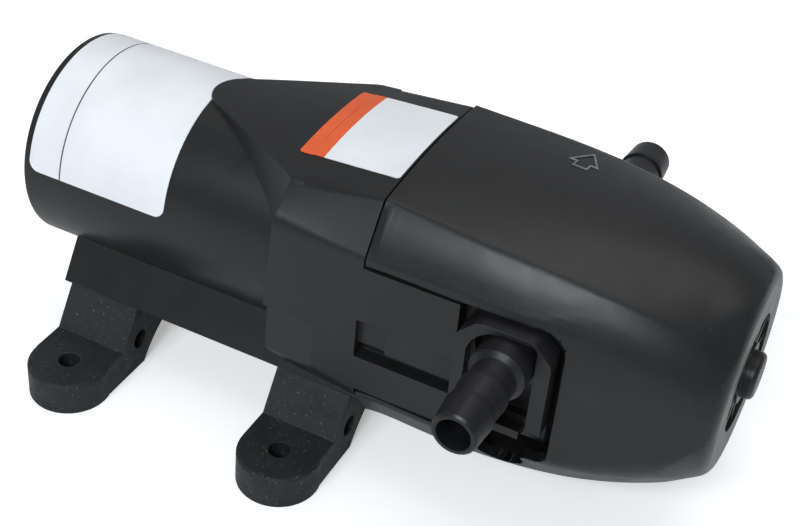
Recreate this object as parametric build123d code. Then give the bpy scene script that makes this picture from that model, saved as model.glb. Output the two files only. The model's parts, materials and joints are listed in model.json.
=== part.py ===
from build123d import *
import os
from math import cos, hypot, radians, sin, tan

# Small self-priming diaphragm pump for a caravan's fresh water, in millimetres.
# +X runs along the motor axis towards the nose, +Z is up, and the origin lies at the
# centre of the four fixing holes, on the underside of the rubber feet.

# Driving sizes of the whole pump
axis_height = 46.0
tube_radius = 25.5
tube_start = -50.6
box_start = 18.6
joint_x = 43.4
pad_end = 65.4
nose_x = 121.5
cover_half_width = 30.4
cover_roof = 30.0
cover_floor = 30.4
fixing_spacing_x = 59.0
fixing_spacing_y = 78.0
port_x = 77.8
port_rise = 7.0
port_reach = 58.0

# Walls and clearances
overrun = 1.0
tube_wall = 1.9
cover_wall = 2.0
cover_gap = 0.4
cover_step = 0.5
joint_gap = 0.7
seat_gap = 0.1
slide_gap = 0.2
running_gap = 0.05
loose_gap = 0.3

# Moulded body: corners of the box behind the cover, measured from the motor axis
corner_share = 0.75
crown_drop = 1.4
crown_share = 0.75
nose_crown_share = 0.2
side_top = 16.8
side_low = 20.8
floor_corner = 23.5
box_floor = 27.6
corner_round = 1.5
side_round = 3.0
rear_roof = 28.4
rear_crown_drop = 2.6
rear_side_top = 18.8
rear_side_low = 16.5
rear_floor_corner = 22.0
rear_corner_round = 8.0
rear_side_round = 6.0
tip_x = -12.2
tip_roof = 25.9
tip_radius = 6.8
wedge_half_angle = 29.5
wedge_end = 24.0
wedge_draft = 6.0
wedge_depth = 28.0
wedge_round = 0.5
crease_slack = 0.001
rim_round = 0.8
side_lip_drop = 5.5
lip_inset = 1.9
lip_fade = 31.5
rear_lean = 2.6

# Base rail that carries the rubber feet, its underside level with the box floor
rail_start = -41.2
rail_top_half = 18.2
rail_bottom_half = 24.3
rail_rise = 10.0
groove_half_mouth = 8.0
groove_half_root = 10.0
groove_depth = 1.7

# Side pads, with the groove that guides each port clip's arm
pad_drop = 26.2
pad_rise = 7.6
groove_start = 42.0
groove_drop = 17.0
groove_width = 10.4
deep_slot_width = 3.0
deep_slot_extra = 2.0

# Cover window, and the half-round notch below each port
window_end = 89.3
window_drop = 26.6
window_rise = 9.0
window_round = 5.5
window_low_round = 3.0
notch_radius = 5.8
notch_drop = 3.2
notch_round = 1.4
nose_half = 19.8
swell_power = 3.85
swell_root = 0.51
corner_fade = 3.2
nose_flat_share = 0.414
nose_round_share = 0.82
nose_wall = 3.0
nose_cut_share = 0.975
nose_edge_half = 23.2
nose_edge_lean = 32.0
nose_edge_round = 4.5
station_shares = (0, 0.25, 0.45, 0.62, 0.75, 0.86, 0.94, 1)

# Round recess in the nose, with its ribs and the snap-in cap
recess_radius = 13.7
recess_depth = 2.6
recess_rib_count = 12
recess_rib_width = 1.6
recess_rib_height = 1.9
hub_radius = 7.0
cap_radius = 5.4
cap_height = 5.2
cap_round = 1.2
cap_pocket_depth = 2.4

# Motor
can_wall = 1.6
can_start = -46.6
can_end = 9.0
magnet_wall = 3.4
magnet_start = -26.0
magnet_length = 31.0
magnet_span = 120.0
air_gap = 0.5
core_length = 27.0
slot_count = 10
slot_width = 2.4
slot_depth = 6.0
tooth_lip = 1.6
shaft_radius = 2.5
shaft_start = -49.0
shaft_end = 30.2
winding_radius = 14.6
winding_length = 6.0
commutator_radius = 6.5
commutator_length = 9.0
commutator_start = -42.0
brush_width = 4.0
brush_depth = 5.0
brush_length = 8.0
brush_start = -39.5
holder_thickness = 2.0
holder_start = -44.6
holder_wall = 1.2
spring_thickness = 0.8
bushing_radius = 5.0
cap_plate = 3.2
cap_inset = 0.8
cap_boss_radius = 7.4
cap_boss_length = 3.0
cap_screw_radius = 2.4
cap_screw_height = 1.4
cap_screw_circle = 18.0
gland_radius = 3.6
gland_bore = 1.6
gland_drop = 15.0
gland_flange = 1.2
gland_stub = 2.0
plate_thickness = 3.0
plate_boss_radius = 10.0
plate_boss_length = 5.0
bearing_radius = 8.0
bearing_width = 5.0

# Wobble drive: the bearing sits askew on the eccentric, about the pivot on the motor axis
wobble_angle = 3.0
pivot_x = 50.0
journal_radius = 5.2
journal_start = 28.0
journal_length = 8.5
hub_flange_radius = 7.4
hub_flange_length = 1.6
weight_start = 17.4
weight_radius = 14.0
weight_length = 2.4
weight_hub = 4.6
wobble_bearing_wall = 3.2
wobble_bearing_length = 7.0
wobble_cup_wall = 1.7
wobble_web = 3.0
arm_radius = 4.2
arm_end = 2.2
piston_offset = 12.2
piston_radius = 7.2
piston_length = 8.6
piston_edge = 0.8
piston_screw_radius = 1.5
piston_screw_head = 2.0
piston_screw_height = 1.4

# Piston housing, diaphragm, valve plate and pump head
housing_start = 52.0
housing_thickness = 6.0
housing_bore = 8.9
diaphragm_thickness = 1.4
bead_ring = 7.6
bead_radius = 0.5
valve_plate_end = 65.2
chamber_radius = 8.6
chamber_depth = 2.0
valve_spread = 4.2
valve_port_radius = 1.3
valve_disc_radius = 2.9
valve_disc_thickness = 0.8
valve_stem_radius = 0.7
head_end = 90.0
head_half_width = 26.0
head_roof = 25.4
head_floor = 24.8
head_corner_share = 0.68
head_edge = 3.0
head_boss_radius = 4.6
head_boss_end = 113.0
socket_depth = 14.0
passage_radius = 2.4
duct_radius = 2.0
gallery_depth = 3.0
head_screw_radius = 1.5
head_screw_head = 2.7
head_screw_height = 1.8
head_screw_y = 17.6
head_screw_z = 20.6
head_flange = 3.4
cover_screw_radius = 1.5
cover_screw_head = 3.0
cover_screw_height = 1.8
cover_screw_length = 12.0

# Port fittings: O-ring spigot, flange, neck, collar and two-ridged hose tail
spigot_radius = 5.5
spigot_length = 12.0
port_bore = 3.8
spigot_bore = 2.9
oring_wire = 0.65
oring_inset = 3.2
flange_radius = 6.7
flange_thickness = 1.2
neck_radius = 4.9
neck_end = 30.1
collar_radius = 6.3
collar_end = 38.6
collar_round = 1.1
tail_radius = 5.0
ridge_radius = 5.5
ridge_land = 1.0
ridge_pitch = 6.6
first_ridge = 43.6
tip_radius_share = 0.9

# Port clips: raised rim on a back plate, with an arm that slides in the side groove
clip_thickness = 2.2
rim_thickness = 3.6
clip_start = 66.4
clip_end = 87.8
clip_drop = 18.7
clip_rise = 7.7
clip_chamfer = 4.4
clip_corner_round = 3.0
rim_wall = 1.0
rim_foot = 2.1
back_foot = 3.3
leg_width = 3.4
leg_drop = 15.7
leg_split = 1.2
clip_travel = 1.4
lip_radius = 6.9
lip_drop = 6.0
rim_radius = 7.4
rim_corner_round = 1.4
arm_start = 49.0
arm_drop = 13.8
arm_width = 7.0
arm_recess = 0.7
arm_thickness = 1.0

# Pressure switch on the front of the pump head
switch_rise = 12.0
switch_radius = 7.0
switch_wall = 1.2
switch_length = 15.0
plunger_radius = 2.0
plunger_head = 4.6
plunger_head_thickness = 1.4
plunger_length = 7.0
spring_radius = 3.6
spring_wire = 0.6
spring_turns = 5
spring_clear = 0.2
adjuster_radius = 2.2
adjuster_seat = 4.2
adjuster_seat_thickness = 1.2
adjuster_stub = 2.6
adjuster_slot = 0.8

# Rubber feet
lug_thickness = 8.5
lug_radius = 10.0
fixing_radius = 2.6
leg_half_width = 9.7
leg_outer_low = 30.3
leg_top_half = 24.1
foot_gap = 0.2
arch_half = 21.8
arch_web = 6.7
relief_radius = 2.6
relief_y = 23.2
relief_share = 0.45
lug_edge = 0.8
tongue_gap = 0.15

# Sizes worked out from the ones above
port_height = axis_height + port_rise
bore_radius = tube_radius - tube_wall
box_half_width = cover_half_width - cover_step
box_roof = cover_roof - cover_step
cover_length = nose_x - joint_x
lip_height = axis_height - side_lip_drop
rail_bottom = axis_height - box_floor
pad_face = box_half_width
pad_low = port_height - pad_drop
pad_top = port_height + pad_rise
groove_low = port_height - groove_drop
groove_top = groove_low + groove_width
deep_slot_top = groove_low + deep_slot_width
window_low = port_height - window_drop
window_top = port_height + window_rise
clip_low = port_height - clip_drop
clip_top = port_height + clip_rise
leg_low = port_height - leg_drop
lip_low = port_height - lip_drop
arm_low = port_height - arm_drop
arm_top = arm_low + arm_width
clip_face = pad_face - slide_gap
clip_back = clip_face - clip_thickness
arm_face = pad_face - arm_recess
arm_back = arm_face - arm_thickness
arm_groove_face = arm_back - slide_gap
can_radius = bore_radius - seat_gap
magnet_radius = can_radius - can_wall - seat_gap
core_radius = magnet_radius - magnet_wall - air_gap
core_start = magnet_start + (magnet_length - core_length) / 2
wobble_bearing_radius = journal_radius + running_gap + wobble_bearing_wall
wobble_bearing_start = journal_start - wobble_bearing_length
cup_radius = wobble_bearing_radius + wobble_cup_wall
web_start = wobble_bearing_start - wobble_web
housing_end = housing_start + housing_thickness
diaphragm_start = housing_end + seat_gap / 2
diaphragm_end = diaphragm_start + diaphragm_thickness
valve_plate_start = diaphragm_end + seat_gap / 2
spigot_start = head_half_width - spigot_length
socket_radius = spigot_radius + running_gap
flange_start = head_half_width + slide_gap / 2
flange_end = flange_start + flange_thickness
head_start = pad_end + seat_gap
recess_floor = nose_x - recess_depth
switch_start = head_end + seat_gap
switch_end = switch_start + switch_length
switch_axis = axis_height + switch_rise
fixing_x = fixing_spacing_x / 2
fixing_y = fixing_spacing_y / 2
foot_top = rail_bottom - foot_gap
arch_rise = foot_top - arch_web
relief_z = relief_share * foot_top

low_align = (Align.CENTER, Align.CENTER, Align.MIN)
corner_align = (Align.MIN, Align.MIN, Align.MIN)


# Round bar along X, by default on the motor axis
def bar(radius, start, end, y=0, z=axis_height):
    return Pos(start, y, z) * Rot(0, 90, 0) * Cylinder(radius, end - start, align=low_align)


# Tube along X on the motor axis
def sleeve(outer, inner, start, end):
    return bar(outer, start, end) - bar(inner, start - overrun, end + overrun)


# Round bar along Y, running outwards from start on the side asked for
def side_bar(radius, side, start, end, x=port_x, z=port_height):
    turn = Rot(90, 0, 0) if side < 0 else Rot(-90, 0, 0)
    return Pos(x, side * start, z) * turn * Cylinder(radius, end - start, align=low_align)


# Box between two corners
def block(low, high):
    size = [high[axis] - low[axis] for axis in range(3)]
    return Pos(*low) * Box(*size, align=corner_align)


# Bar, sleeve and block of the wobble drive, along its askew axis ahead of the pivot
def askew(shape):
    return Pos(pivot_x, 0, axis_height) * Rot(0, -wobble_angle, 0) * shape


def askew_bar(radius, start, end, offset=0):
    return askew(Pos(start, 0, offset) * Rot(0, 90, 0) * Cylinder(radius, end - start, align=low_align))


# Eight-sided section with a crowned roof and rounded corners, across X
def section(x, width, roof, floor, top, low, roof_flat, floor_flat, drop, corner, flank, share=crown_share):
    crown = drop / (1 - share / 2)
    peak = roof + share / 2 * crown
    outline = [(0, peak), (roof_flat, peak - crown), (width, top), (width, -low), (floor_flat, -floor)]
    left = [(-y, z) for y, z in outline[:0:-1]]
    crown_radius = share * roof_flat * roof_flat / crown
    rounds = [crown_radius, corner, flank, flank, corner]
    path = FilletPolyline(*outline, *left, radius=rounds + rounds[:0:-1], close=True)
    plane = Plane(origin=(x, 0, axis_height), x_dir=(0, 1, 0), z_dir=(1, 0, 0))
    return plane * make_face(path)


# Section of the moulded box at the cover joint, drawn in by the inset
def joint_section(x, inset=0, roof=box_roof, floor=box_floor):
    width = box_half_width - inset
    return section(x, width, roof - inset, floor, side_top - inset / 2, side_low - inset,
                   corner_share * width, floor_corner - inset, crown_drop, corner_round, side_round)


# Section of the box or of the roof line behind it, at its rear end
def rear_section(x, roof):
    return section(x, box_half_width, roof, box_floor, rear_side_top, rear_side_low,
                   corner_share * box_half_width, rear_floor_corner, rear_crown_drop, rear_corner_round, rear_side_round)


# Section of the bullet-shaped cover at a share of its length, drawn in by the inset
def cover_section(share, inset=0, length=cover_length):
    swell = (1 - (nose_cut_share * share) ** swell_power) ** swell_root
    square = swell**corner_fade
    width = nose_half + (cover_half_width - nose_half) * swell - inset
    roof = nose_half + (cover_roof - nose_half) * swell - inset
    floor = nose_half + (cover_floor - nose_half) * swell - inset

    def flat(start):
        return nose_flat_share + (start - nose_flat_share) * square

    blend = 1 - square
    corner = corner_round + (nose_round_share * nose_half - corner_round) * blend
    flank = side_round + (nose_round_share * nose_half - side_round) * blend
    return section(joint_x + share * length, width, roof, floor,
                   flat(side_top / (cover_roof - crown_drop)) * roof, flat(side_low / cover_floor) * floor,
                   flat(corner_share) * width, flat(floor_corner / cover_half_width) * width,
                   crown_drop * roof / cover_roof, corner, flank,
                   crown_share * square + nose_crown_share * blend)


def moulded_box():
    box = loft([rear_section(box_start, rear_roof), joint_section(joint_x - joint_gap)], ruled=True)
    # The side edges lean back from the roof to the lip, and the flank fades in below the lip
    lean = Polyline((box_start, lip_height), (box_start + rear_lean, axis_height + cover_roof),
                    (box_start, axis_height + cover_roof), close=True)
    lean_cut = extrude(Plane.XZ * make_face(lean), 2 * cover_half_width, both=True)
    keep = bar(tube_radius + rear_lean, box_start, joint_x)
    box -= lean_cut - keep
    for side in (-1, 1):
        outer = side * (box_half_width + overrun)
        inner = side * (box_half_width - lip_inset)
        fade = Polyline((box_start - overrun, outer), (box_start - overrun, inner),
                        (lip_fade, side * box_half_width), (lip_fade, outer), close=True)
        box -= Pos(0, 0, rail_bottom) * extrude(make_face(fade), lip_height - rail_bottom)
    return box


# Stretch of the arrow-shaped shoulder between two places along the tube
def shoulder(start, end):
    slope = tan(radians(wedge_half_angle))
    apex = tip_x - tip_radius / sin(radians(wedge_half_angle)) + tip_radius
    reach = (wedge_end - apex) * slope
    path = FilletPolyline((apex, 0), (wedge_end, reach), (wedge_end, -reach),
                          radius=[tip_radius, 0, 0], close=True)
    top = axis_height + cover_roof
    wedge_plane = Plane(origin=(0, 0, top), x_dir=(1, 0, 0), z_dir=(0, 0, -1))
    wedge = extrude(wedge_plane * make_face(path), wedge_depth, taper=-wedge_draft)
    roof_line = loft([rear_section(tip_x - overrun, tip_roof), joint_section(joint_x)], ruled=True)
    return wedge & roof_line & block((start, -tube_radius - rear_lean, axis_height),
                                     (end, tube_radius + rear_lean, top))


# Tube with the shoulder, soft along the crease between them
def shouldered_tube():
    end = box_start + overrun
    tube = bar(tube_radius, tube_start, end)
    rim = tube.edges().filter_by(GeomType.CIRCLE).sort_by(Axis.X)[0]
    body = fillet(rim, rim_round) + shoulder(tip_x - overrun, end)

    def off_tube(edge):
        middle = edge @ 0.5
        return hypot(middle.Y, middle.Z - axis_height) - tube_radius

    curves = body.edges().filter_by(GeomType.BSPLINE)
    creases = [edge for edge in curves if abs(off_tube(edge)) < crease_slack]
    return fillet(creases, wedge_round) + shoulder(end, wedge_end)


def base_rail():
    rail = Polyline((-rail_bottom_half, rail_bottom), (rail_bottom_half, rail_bottom),
                    (rail_top_half, rail_bottom + rail_rise), (-rail_top_half, rail_bottom + rail_rise),
                    close=True)
    plane = Plane(origin=(rail_start, 0, 0), x_dir=(0, 1, 0), z_dir=(1, 0, 0))
    solid = extrude(plane * make_face(rail), joint_x - rail_start)
    groove = Polyline((-groove_half_mouth, rail_bottom - overrun), (groove_half_mouth, rail_bottom - overrun),
                      (groove_half_mouth, rail_bottom), (groove_half_root, rail_bottom + groove_depth),
                      (-groove_half_root, rail_bottom + groove_depth), (-groove_half_mouth, rail_bottom),
                      close=True)
    groove_plane = Plane(origin=(rail_start - overrun, 0, 0), x_dir=(0, 1, 0), z_dir=(1, 0, 0))
    length = joint_x - rail_start - cover_wall
    return solid, extrude(groove_plane * make_face(groove), length)


# Pad on one side of the collar, with the groove and the deep slot for the clip's arm
def side_pad(side):
    def span(inner, outer, x_start, x_end, low, high):
        ends = sorted((side * inner, side * outer))
        return block((x_start, ends[0], low), (x_end, ends[1], high))

    pad = span(bore_radius, pad_face, joint_x - overrun, pad_end, pad_low, pad_top)
    groove = span(arm_groove_face, pad_face + overrun, groove_start, pad_end + overrun,
                  groove_low, groove_top)
    slot = span(arm_groove_face - deep_slot_extra, pad_face, groove_start, pad_end + overrun,
                groove_low, deep_slot_top)
    return pad, groove + slot


def rear_housing():
    rail, rail_groove = base_rail()
    inset = cover_wall + cover_gap - cover_step
    collar = loft([joint_section(joint_x - 2 * overrun, inset), joint_section(pad_end, inset)], ruled=True)
    body = shouldered_tube() + moulded_box() + rail + collar
    cuts = [rail_groove, bar(bore_radius, tube_start - overrun, pad_end + overrun)]
    for side in (-1, 1):
        pad, guide = side_pad(side)
        body += pad
        cuts.append(guide)
    cuts += head_screw_bars(head_screw_radius, joint_x + overrun, pad_end + overrun)
    for cut in cuts:
        body -= cut
    return body


# One bar for each head screw, at the four corners around the bore
def head_screw_bars(radius, start, end):
    return [bar(radius, start, end, y * head_screw_y, axis_height + z * head_screw_z)
            for y in (-1, 1) for z in (-1, 1)]


def front_cover():
    outer = loft([cover_section(share) for share in station_shares])
    inner_length = cover_length - nose_wall - recess_depth
    inner = loft([cover_section(share, cover_wall, inner_length) for share in station_shares])
    mouth = extrude(cover_section(0, cover_wall), -overrun)
    reach = (joint_x - nose_x) * tan(radians(nose_edge_lean))
    trim = FilletPolyline((joint_x - overrun, 0), (joint_x - overrun, nose_edge_half - reach),
                          (nose_x, nose_edge_half), (nose_x, 0), radius=[0, 0, nose_edge_round, 0], close=True)
    nose_trim = Pos(0, 0, axis_height) * revolve(make_face(trim), Axis.X)
    shell = (outer & nose_trim) - inner - mouth
    recess = bar(recess_radius, recess_floor, nose_x + overrun) - bar(hub_radius, recess_floor, nose_x)
    shell -= recess
    for index in range(recess_rib_count):
        rib = Pos(recess_floor, 0, axis_height) * Rot(360 * index / recess_rib_count, 0, 0) * \
            Pos(0, 0, (hub_radius + recess_radius) / 2) * \
            Box(recess_rib_height, recess_rib_width, recess_radius - hub_radius + seat_gap,
                align=(Align.MIN, Align.CENTER, Align.CENTER))
        shell += rib
    shell -= bar(cap_radius + seat_gap / 2, recess_floor, nose_x + overrun)
    shell -= bar(cover_screw_radius + seat_gap, head_boss_end - overrun, nose_x)
    window = FilletPolyline((joint_x - overrun, window_low), (window_end, window_low),
                            (window_end, window_top), (joint_x - overrun, window_top),
                            radius=[0, window_low_round, window_round, 0], close=True)
    opening = make_face(window) + Pos(port_x, window_low - notch_drop) * Circle(notch_radius)
    mouth_corners = opening.vertices().filter_by_position(Axis.X, port_x - notch_radius, port_x + notch_radius)
    opening = fillet(mouth_corners.filter_by_position(Axis.Y, window_low - seat_gap, window_low + seat_gap),
                     notch_round)
    return shell - extrude(Plane.XZ * opening, 2 * cover_half_width, both=True)


def rear_cap():
    start = tube_start + cap_inset
    cap = bar(can_radius, start, start + cap_plate)
    cap += bar(cap_boss_radius, start + cap_plate, start + cap_plate + cap_boss_length)
    cap -= bar(bushing_radius, start + cap_inset, start + cap_plate + cap_boss_length + overrun)
    cap -= bar(gland_radius - gland_flange, start - overrun, start + cap_plate + overrun, 0,
               axis_height - gland_drop)
    for y in (-1, 1):
        cap -= bar(cap_screw_radius / 2, start - overrun, start + cap_plate + overrun, y * cap_screw_circle)
    return cap


def cap_screws():
    start = tube_start + cap_inset
    group = []
    for y in (-1, 1):
        head = bar(cap_screw_radius, start - cap_screw_height + seat_gap, start, y * cap_screw_circle)
        stem = bar(cap_screw_radius / 2 - seat_gap / 2, start, start + cap_plate, y * cap_screw_circle)
        group.append(head + stem)
    return group


def lead_gland():
    start = tube_start + cap_inset
    z = axis_height - gland_drop
    gland = bar(gland_radius, start - gland_stub, start, 0, z)
    gland += bar(gland_radius - gland_flange - seat_gap / 2, start, start + cap_plate, 0, z)
    return gland - bar(gland_bore, start - gland_stub - overrun, start + cap_plate + overrun, 0, z)


def rear_bushing():
    start = tube_start + 2 * cap_inset + seat_gap
    end = tube_start + cap_inset + cap_plate + cap_boss_length
    return sleeve(bushing_radius - running_gap, shaft_radius + running_gap, start, end)


def motor_can():
    return sleeve(can_radius, can_radius - can_wall, can_start, can_end)


def field_magnets():
    ring = sleeve(magnet_radius, magnet_radius - magnet_wall, magnet_start, magnet_start + magnet_length)
    reach = 2 * magnet_radius
    half = radians(magnet_span / 2)
    group = []
    for side in (-1, 1):
        wedge = Polyline((0, 0), (side * reach * sin(half), reach * cos(half)),
                         (side * reach * sin(half), -reach * cos(half)), close=True)
        plane = Plane(origin=(magnet_start - overrun, 0, axis_height), x_dir=(0, 1, 0), z_dir=(1, 0, 0))
        group.append(ring & extrude(plane * make_face(wedge), magnet_length + 2 * overrun))
    return group


def armature_core():
    core = sleeve(core_radius, shaft_radius, core_start, core_start + core_length)
    for index in range(slot_count):
        turn = Pos(core_start - overrun, 0, axis_height) * Rot(360 * index / slot_count, 0, 0)
        depth = core_radius - tooth_lip - slot_depth
        pocket = Pos(0, 0, depth) * Box(core_length + 2 * overrun, slot_width, slot_depth,
                                        align=(Align.MIN, Align.CENTER, Align.MIN))
        mouth = Pos(0, 0, depth) * Box(core_length + 2 * overrun, slot_width / 3, 2 * slot_depth,
                                       align=(Align.MIN, Align.CENTER, Align.MIN))
        core -= turn * (pocket + mouth)
    return core


def armature_windings():
    group = []
    for start in (core_start - winding_length, core_start + core_length):
        coil = sleeve(winding_radius, shaft_radius + can_wall, start, start + winding_length)
        outer_edges = coil.edges().filter_by(GeomType.CIRCLE).group_by(SortBy.RADIUS)[-1]
        group.append(fillet(outer_edges, can_wall))
    return group


def commutator():
    return sleeve(commutator_radius, shaft_radius, commutator_start, commutator_start + commutator_length)


def rotor_shaft():
    shaft = bar(shaft_radius, shaft_start, shaft_end)
    ends = shaft.edges().filter_by(GeomType.CIRCLE)
    return chamfer(ends, overrun / 4)


def brush_holder():
    holder = sleeve(can_radius - can_wall - seat_gap, cap_boss_radius + loose_gap, holder_start,
                    holder_start + holder_thickness)
    inner = commutator_radius + air_gap
    outer = inner + brush_length + holder_wall
    for side in (-1, 1):
        ends = sorted((side * (inner + holder_wall), side * outer))
        half = brush_depth / 2 + holder_wall
        box = block((holder_start, ends[0], axis_height - half),
                    (brush_start + brush_width + holder_wall, ends[1], axis_height + half))
        pocket_ends = sorted((side * inner, side * (outer + overrun)))
        pocket_half = brush_depth / 2 + running_gap
        pocket = block((brush_start - running_gap, pocket_ends[0], axis_height - pocket_half),
                       (brush_start + brush_width + running_gap, pocket_ends[1], axis_height + pocket_half))
        holder += box
        holder -= pocket
    return holder


def carbon_brushes():
    inner = commutator_radius + running_gap
    group = []
    for side in (-1, 1):
        ends = sorted((side * inner, side * (inner + brush_length)))
        brush = block((brush_start, ends[0], axis_height - brush_depth / 2),
                      (brush_start + brush_width, ends[1], axis_height + brush_depth / 2))
        group.append(brush - bar(inner, brush_start - overrun, brush_start + brush_width + overrun))
    return group


def brush_springs():
    inner = commutator_radius + running_gap + brush_length + seat_gap
    group = []
    for side in (-1, 1):
        ends = sorted((side * inner, side * (inner + spring_thickness)))
        group.append(block((brush_start + running_gap, ends[0], axis_height - brush_depth / 2),
                           (brush_start + brush_width - running_gap, ends[1], axis_height + brush_depth / 2)))
    return group


def motor_plate():
    end = can_end + plate_thickness
    plate = bar(can_radius, can_end + seat_gap, end)
    plate += bar(plate_boss_radius, end, end + plate_boss_length)
    plate -= bar(bearing_radius + seat_gap / 2, end + plate_boss_length - bearing_width - seat_gap,
                 end + plate_boss_length + overrun)
    return plate - bar(shaft_radius + loose_gap, can_end - overrun, end + plate_boss_length)


def front_bearing():
    end = can_end + plate_thickness + plate_boss_length
    return sleeve(bearing_radius, shaft_radius + running_gap, end - bearing_width, end)


def counterweight():
    disc = sleeve(weight_radius, shaft_radius, weight_start, weight_start + weight_length)
    half = block((weight_start - overrun, -weight_radius - overrun, axis_height),
                 (weight_start + weight_radius, weight_radius + overrun, axis_height + 2 * weight_radius))
    return (disc - half) + sleeve(weight_hub, shaft_radius, weight_start, weight_start + weight_length)


def eccentric():
    journal = askew_bar(journal_radius, -journal_start, -journal_start + journal_length)
    flange = askew_bar(hub_flange_radius, -journal_start - hub_flange_length, -journal_start)
    return journal + flange - bar(shaft_radius, weight_start, pivot_x)


def wobble_bearing():
    ring = askew_bar(wobble_bearing_radius, -journal_start + loose_gap, -wobble_bearing_start)
    return ring - askew_bar(journal_radius + running_gap, -journal_start, -wobble_bearing_start + overrun)


def wobble_plate():
    cup = askew_bar(cup_radius, -journal_start + loose_gap, -web_start)
    cup -= askew_bar(wobble_bearing_radius, -journal_start - overrun, -wobble_bearing_start)
    cup -= askew_bar(journal_radius + loose_gap, -journal_start, -web_start - wobble_web / 3)
    for offset in (-piston_offset, piston_offset):
        cup += askew_bar(arm_radius, -web_start - wobble_web, -arm_end, offset)
        cup -= askew_bar(piston_screw_radius, -web_start - 2 * wobble_web, overrun, offset)
    return cup


def pistons():
    group = []
    for offset in (-piston_offset, piston_offset):
        piston = askew_bar(piston_radius, -arm_end, piston_length - arm_end, offset)
        rims = piston.edges().filter_by(GeomType.CIRCLE)
        piston = fillet(rims, piston_edge)
        group.append(piston - askew_bar(piston_screw_radius, -arm_end - overrun, piston_length / 2, offset))
    return group


def piston_screws():
    group = []
    rear = -web_start - wobble_web
    for offset in (-piston_offset, piston_offset):
        stem = askew_bar(piston_screw_radius - seat_gap / 4, rear, piston_length / 2 - overrun, offset)
        head = askew_bar(piston_screw_head, rear - piston_screw_height, rear, offset)
        group.append(stem + head)
    return group


def piston_housing():
    plate = bar(bore_radius - seat_gap, housing_start, housing_end)
    for offset in (-piston_offset, piston_offset):
        plate -= bar(housing_bore, housing_start - overrun, housing_end + overrun, 0, axis_height + offset)
    return plate


def diaphragm():
    disc = bar(bore_radius - seat_gap, diaphragm_start, diaphragm_end)
    for offset in (-piston_offset, piston_offset):
        ring = Pos(diaphragm_end, 0, axis_height + offset) * Rot(0, 90, 0) * Torus(bead_ring, bead_radius)
        disc += ring
    return disc


# Places of the valve ports of every chamber: inlet side first, then outlet side
def valve_places(side):
    return [(side * valve_spread, axis_height + offset) for offset in (-piston_offset, piston_offset)]


def valve_plate():
    plate = bar(bore_radius - seat_gap, valve_plate_start, valve_plate_end)
    for offset in (-piston_offset, piston_offset):
        plate -= bar(chamber_radius, valve_plate_start - overrun, valve_plate_start + chamber_depth, 0,
                     axis_height + offset)
    for side in (-1, 1):
        for y, z in valve_places(side):
            plate -= bar(valve_stem_radius + running_gap, valve_plate_start, valve_plate_end + overrun, y, z)
            for turn in (-1, 1):
                plate -= bar(valve_port_radius / 2, valve_plate_start, valve_plate_end + overrun, y,
                             z + turn * (valve_stem_radius + valve_port_radius))
    return plate


# Umbrella valves: a soft disc against the plate, with its stem through the plate
def valves(side, face, outward):
    group = []
    for y, z in valve_places(side):
        ends = sorted((face, face + outward * valve_disc_thickness))
        disc = bar(valve_disc_radius, ends[0], ends[1], y, z)
        stem_end = face - outward * (valve_plate_end - valve_plate_start) / 3
        stem = bar(valve_stem_radius, min(face, stem_end), max(face, stem_end), y, z)
        group.append(disc + stem)
    return group


def inlet_valves():
    return valves(-1, valve_plate_start + chamber_depth, -1)


def outlet_valves():
    return valves(1, valve_plate_end, 1)


# Two-socket head: octagonal block, flange for the screws, and the boss for the cover screw
def pump_head():
    def head_section(x, inset=0):
        width = head_half_width - inset
        roof = head_roof - inset
        floor = head_floor - inset
        flat = head_corner_share
        return section(x, width, roof, floor, flat * roof, flat * floor, flat * width, flat * width,
                       crown_drop, side_round, side_round)

    head = loft([head_section(head_start), head_section(head_end - head_edge),
                 head_section(head_end, head_edge)], ruled=True)
    head += bar(head_boss_radius, head_end - overrun, head_boss_end)
    head -= bar(cover_screw_radius, head_boss_end - cover_screw_length, head_boss_end + overrun)
    for side in (-1, 1):
        head -= side_bar(socket_radius, side, head_half_width - socket_depth, head_half_width + overrun)
        inner = head_half_width - socket_depth - passage_radius
        head -= side_bar(passage_radius, side, inner, head_half_width)
        duct_y = inner + passage_radius
        head -= bar(duct_radius, head_start, port_x, side * duct_y, port_height)
        ends = sorted((side * (valve_spread - valve_disc_radius), side * (duct_y + duct_radius)))
        reach = piston_offset + valve_disc_radius + slide_gap
        head -= block((head_start - overrun, ends[0], axis_height - reach),
                      (head_start + gallery_depth, ends[1], axis_height + reach))
    for hole in head_screw_bars(head_screw_radius + seat_gap, head_start - overrun, head_end):
        head -= hole
    for well in head_screw_bars(head_screw_head + slide_gap, head_start + head_flange, head_end + overrun):
        head -= well
    return head


def head_screws():
    seat = head_start + head_flange
    heads = head_screw_bars(head_screw_head, seat, seat + head_screw_height)
    stems = head_screw_bars(head_screw_radius - seat_gap / 2, joint_x + 2 * overrun, seat)
    return [head + stem for head, stem in zip(heads, stems)]


def cover_screw():
    head = bar(cover_screw_head, recess_floor, recess_floor + cover_screw_height)
    stem = bar(cover_screw_radius - seat_gap / 2, recess_floor - cover_screw_length, recess_floor)
    return head + stem


def nose_cap():
    start = recess_floor + seat_gap
    cap = bar(cap_radius, start, start + cap_height)
    rim = cap.edges().filter_by(GeomType.CIRCLE).sort_by(Axis.X)[-1]
    cap = fillet(rim, cap_round)
    return cap - bar(cover_screw_head + slide_gap, start - overrun, start + cap_pocket_depth)


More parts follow.
